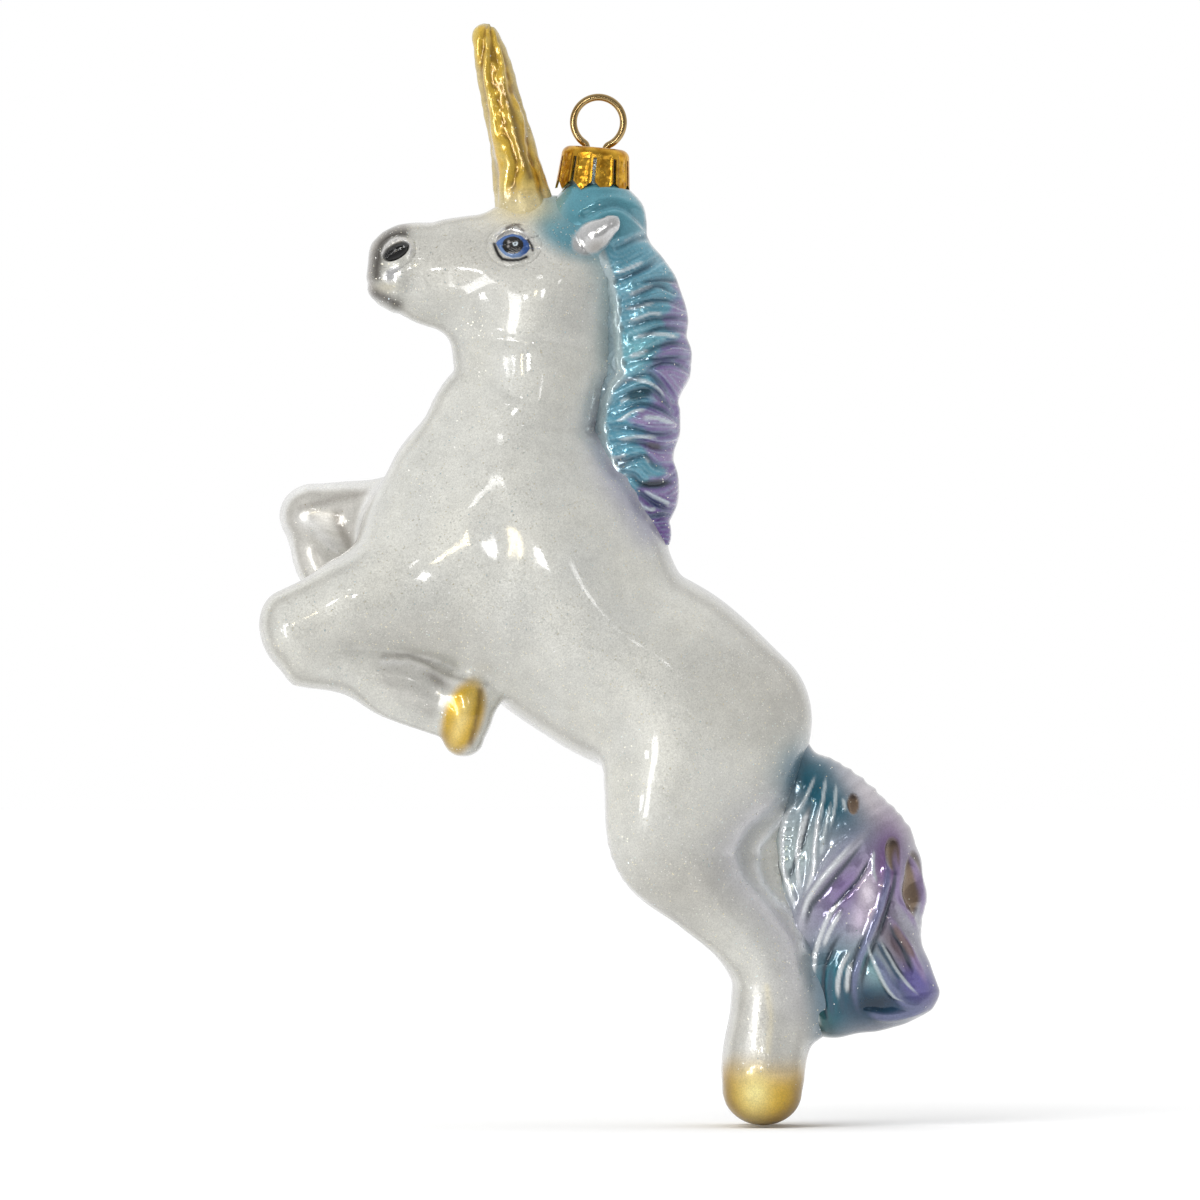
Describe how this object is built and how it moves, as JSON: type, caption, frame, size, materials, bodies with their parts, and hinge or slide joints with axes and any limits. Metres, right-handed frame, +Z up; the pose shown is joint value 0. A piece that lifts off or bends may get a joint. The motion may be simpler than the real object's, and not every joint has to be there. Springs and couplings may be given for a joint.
{
  "type": "hanging glass unicorn ornament",
  "caption": "Hollow blown-glass rearing unicorn with a pearl body, gold horn and hooves, teal and violet mane and tail, a gold crown cap and a wire hanging loop.",
  "frame": {"origin": "centre of the wire hanging loop", "axes": "+Z up as it hangs, +X from the muzzle towards the tail, +Y from the near side of the picture to the far side"},
  "size_m": [0.0937, 0.0291, 0.154],
  "materials": {
    "pearl_glass": "silvered inside, pearl lacquer outside, glossy, with painted gold, teal and violet areas and fine glitter",
    "gold_cap": "stamped thin sheet, glossy gold",
    "gold_wire": "drawn round spring wire, glossy gold"
  },
  "bodies": {
    "figure": {"glass_figure": "pearl_glass"},
    "cap": {"crown_cap": "gold_cap"},
    "hanger": {"hanger_wire": "gold_wire"}
  },
  "joints": [
    {"name": "cap_pull", "type": "slide", "parent": "figure", "child": "cap", "axis": [0.0872, 0, 0.9962], "range_m": [0, 0.02]},
    {"name": "hanger_lean", "type": "hinge", "parent": "cap", "child": "hanger", "pos_m": [-0.00033, 0, -0.00374], "axis": [0.9962, 0, -0.0872], "range_deg": [-8, 8]}
  ]
}
